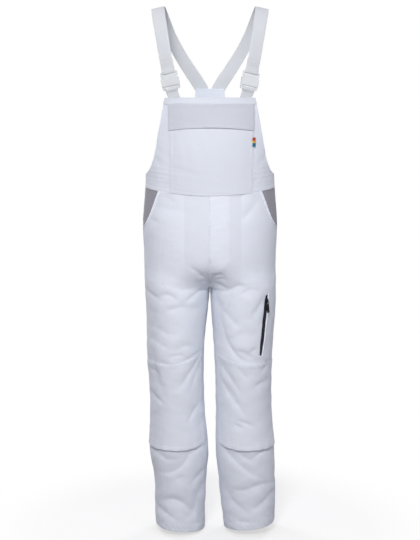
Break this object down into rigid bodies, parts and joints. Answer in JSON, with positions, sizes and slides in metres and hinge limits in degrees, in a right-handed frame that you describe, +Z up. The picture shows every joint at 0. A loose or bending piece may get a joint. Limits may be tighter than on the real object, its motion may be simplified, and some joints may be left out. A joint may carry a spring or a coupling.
{
  "type": "bib and brace overalls",
  "caption": "Hollow worn bib overalls with elastic braces, side-release buckles, flapped bib pocket, slanted hip pockets, knee patches and a zipped thigh pocket.",
  "frame": {"origin": "midway between the undersides of the two braces where they pass over the shoulders", "axes": "+Z up the wearer, -Y to the front, +X to the wearer's left"},
  "size_m": [0.3879, 0.2673, 1.5272],
  "materials": {
    "white_cloth": "matt twill, clean",
    "webbing": "matt elastic webbing",
    "grey_cloth": "matt twill",
    "zip_tape": "matt woven tape",
    "zip_metal": "dark coated",
    "buckle": "moulded, slightly glossy",
    "label": "bare woven tab"
  },
  "bodies": {
    "garment": {"front_leg_left": "white_cloth", "back_leg_left": "white_cloth", "pocket_bag_left": "white_cloth", "knee_patch_left": "white_cloth", "pocket_binding_left": "white_cloth", "hip_facing_left": "grey_cloth", "brace_left": "webbing", "buckle_tab_left": "webbing", "buckle_top_left": "buckle", "buckle_base_left": "buckle", "front_leg_right": "white_cloth", "back_leg_right": "white_cloth", "pocket_bag_right": "white_cloth", "knee_patch_right": "white_cloth", "pocket_binding_right": "white_cloth", "hip_facing_right": "grey_cloth", "brace_right": "webbing", "buckle_tab_right": "webbing", "buckle_top_right": "buckle", "buckle_base_right": "buckle", "fly_facing": "white_cloth", "bib_front": "white_cloth", "bib_top_band": "white_cloth", "bib_pocket": "white_cloth", "bib_flap": "white_cloth", "back_bib": "white_cloth", "back_waistband": "white_cloth", "thigh_zip_welt": "white_cloth", "label_tab": "label", "thigh_zip_tape": "zip_tape", "zip_slider": "zip_metal"},
    "zip_pull": {"zip_pull": "zip_metal"}
  },
  "joints": [
    {"name": "pull_swing", "type": "hinge", "parent": "garment", "child": "zip_pull", "pos_m": [0.16369, -0.06895, -0.82257], "axis": [-0.6684, -0.7284, -0.1509], "range_deg": [0, 165]}
  ]
}
